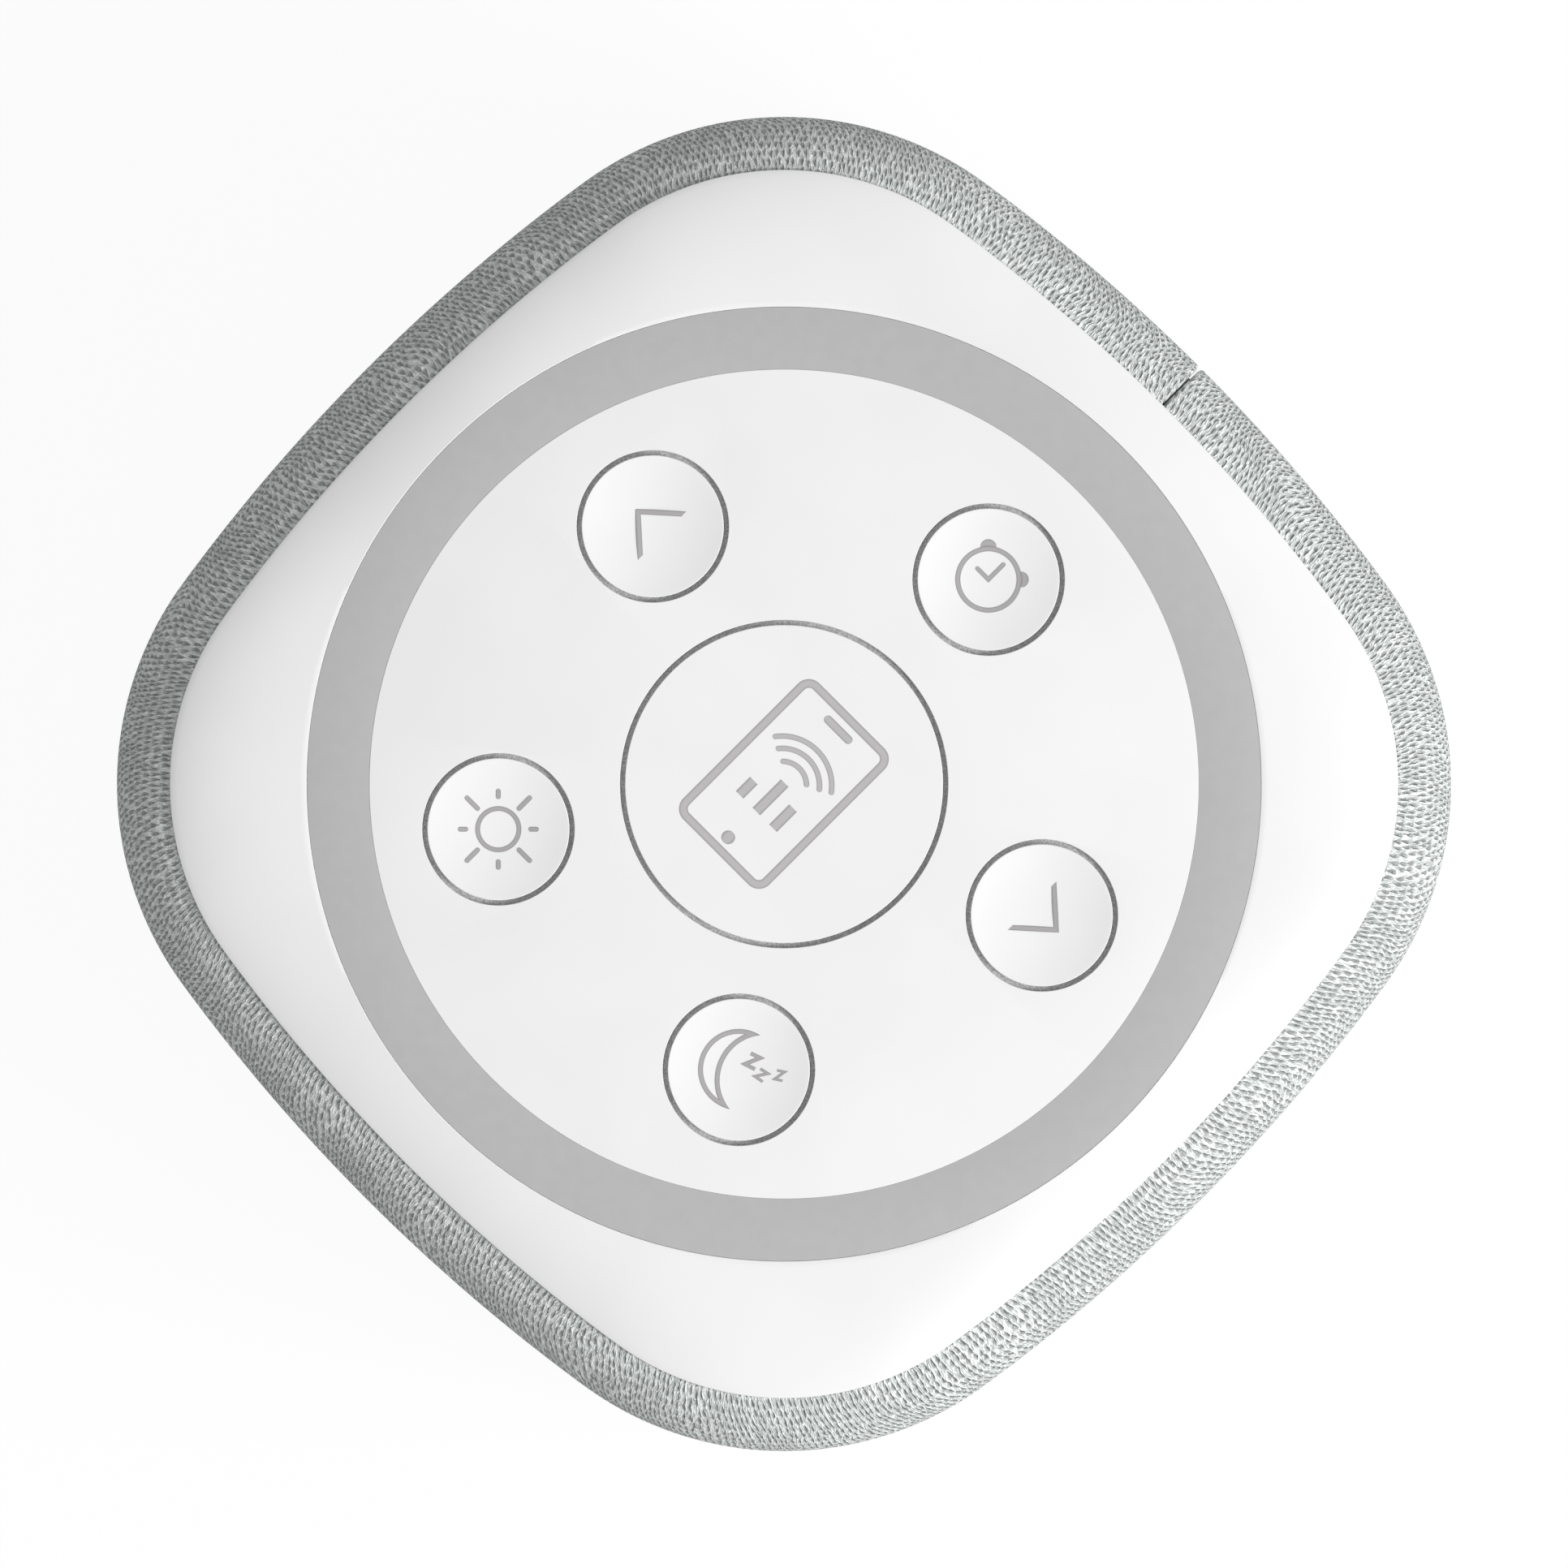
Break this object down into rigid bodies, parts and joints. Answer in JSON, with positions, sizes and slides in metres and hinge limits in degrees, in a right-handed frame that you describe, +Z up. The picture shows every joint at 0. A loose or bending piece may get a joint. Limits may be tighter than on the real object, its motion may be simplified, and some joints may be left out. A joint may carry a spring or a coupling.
{
  "type": "white noise sound machine",
  "caption": "Table-top sound machine with a fabric-wrapped rounded-square body, a light ring, push buttons on top and a speaker inside.",
  "frame": {"origin": "centre of the footprint on the surface that the rubber feet stand on", "axes": "+Z up through the control panel, +Y towards the charging socket at the back, +X to the right of someone who faces the front"},
  "size_m": [0.1, 0.1, 0.064],
  "materials": {
    "base_plastic": "fine matte",
    "foot_rubber": "soft matte",
    "screw_steel": "zinc plated",
    "frame_plastic": "moulded",
    "knit_fabric": "grey melange knit",
    "shell_plastic": "fine matte",
    "diffuser_plastic": "satin opal diffuser",
    "reflector_plastic": "moulded",
    "led_plastic": "clear gel",
    "panel_plastic": "fine matte",
    "board_laminate": "solder resist",
    "switch_plastic": "moulded",
    "button_plastic": "fine matte",
    "plunger_plastic": "moulded",
    "box_plastic": "moulded",
    "grommet_rubber": "soft matte",
    "gasket_foam": "closed-cell foam",
    "basket_steel": "pressed, painted",
    "yoke_steel": "zinc plated",
    "magnet_ferrite": "sintered ferrite",
    "former_paper": "wound paper",
    "coil_copper": "enamelled winding",
    "cone_paper": "pressed paper",
    "surround_rubber": "soft matte",
    "spider_cloth": "resin-dipped cloth",
    "terminal_brass": "tinned",
    "chip_resin": "moulded resin",
    "shield_steel": "nickel plated",
    "can_aluminium": "drawn can",
    "socket_plastic": "moulded",
    "ribbon_plastic": "laminated film",
    "battery_foil": "laminated foil",
    "lead_red": "insulation",
    "lead_black": "insulation"
  },
  "bodies": {
    "case": {"base_shell": "base_plastic", "rubber_feet": "foot_rubber", "case_screws": "screw_steel", "sleeve_frame": "frame_plastic", "fabric_sleeve": "knit_fabric", "top_shell": "shell_plastic", "shell_screws": "screw_steel", "light_ring": "diffuser_plastic", "ring_reflector": "reflector_plastic", "ring_leds": "led_plastic", "control_panel": "panel_plastic", "panel_screws": "screw_steel", "key_board": "board_laminate", "key_board_screws": "screw_steel", "switch_bodies": "switch_plastic", "speaker_box": "box_plastic", "lead_grommet": "grommet_rubber", "speaker_gasket": "gasket_foam", "speaker_basket": "basket_steel", "speaker_screws": "screw_steel", "magnet_yoke": "yoke_steel", "ferrite_magnet": "magnet_ferrite", "magnet_plate": "yoke_steel", "cone_surround": "surround_rubber", "cone_spider": "spider_cloth", "speaker_terminals": "terminal_brass", "main_board": "board_laminate", "main_board_screws": "screw_steel", "sound_chip": "chip_resin", "amplifier_chip": "chip_resin", "radio_module": "shield_steel", "power_coil": "magnet_ferrite", "capacitors": "can_aluminium", "lead_sockets": "socket_plastic", "ribbon_sockets": "socket_plastic", "ribbon_cable": "ribbon_plastic", "usb_shell": "shield_steel", "usb_tongue": "chip_resin", "battery": "battery_foil", "battery_pad": "gasket_foam", "battery_lead": "lead_red", "speaker_lead": "lead_black"},
    "phone_key": {"phone_button": "button_plastic", "phone_plunger": "plunger_plastic"},
    "timer_key": {"timer_button": "button_plastic", "timer_plunger": "plunger_plastic"},
    "previous_key": {"previous_button": "button_plastic", "previous_plunger": "plunger_plastic"},
    "light_key": {"light_button": "button_plastic", "light_plunger": "plunger_plastic"},
    "sleep_key": {"sleep_button": "button_plastic", "sleep_plunger": "plunger_plastic"},
    "next_key": {"next_button": "button_plastic", "next_plunger": "plunger_plastic"},
    "cone_assembly": {"speaker_cone": "cone_paper", "dust_cap": "cone_paper", "coil_former": "former_paper", "voice_coil": "coil_copper"}
  },
  "joints": [
    {"name": "phone_press", "type": "slide", "parent": "case", "child": "phone_key", "axis": [0, 0, -1], "range_m": [0, 0.0005], "stiffness_N_per_m": 3000},
    {"name": "timer_press", "type": "slide", "parent": "case", "child": "timer_key", "axis": [0, 0, -1], "range_m": [0, 0.0005], "stiffness_N_per_m": 3000},
    {"name": "previous_press", "type": "slide", "parent": "case", "child": "previous_key", "axis": [0, 0, -1], "range_m": [0, 0.0005], "stiffness_N_per_m": 3000},
    {"name": "light_press", "type": "slide", "parent": "case", "child": "light_key", "axis": [0, 0, -1], "range_m": [0, 0.0005], "stiffness_N_per_m": 3000},
    {"name": "sleep_press", "type": "slide", "parent": "case", "child": "sleep_key", "axis": [0, 0, -1], "range_m": [0, 0.0005], "stiffness_N_per_m": 3000},
    {"name": "next_press", "type": "slide", "parent": "case", "child": "next_key", "axis": [0, 0, -1], "range_m": [0, 0.0005], "stiffness_N_per_m": 3000},
    {"name": "cone_travel", "type": "slide", "parent": "case", "child": "cone_assembly", "axis": [0, 0, 1], "range_m": [-0.001, 0.001], "stiffness_N_per_m": 1250, "deforming": ["cone_surround", "cone_spider"]}
  ]
}
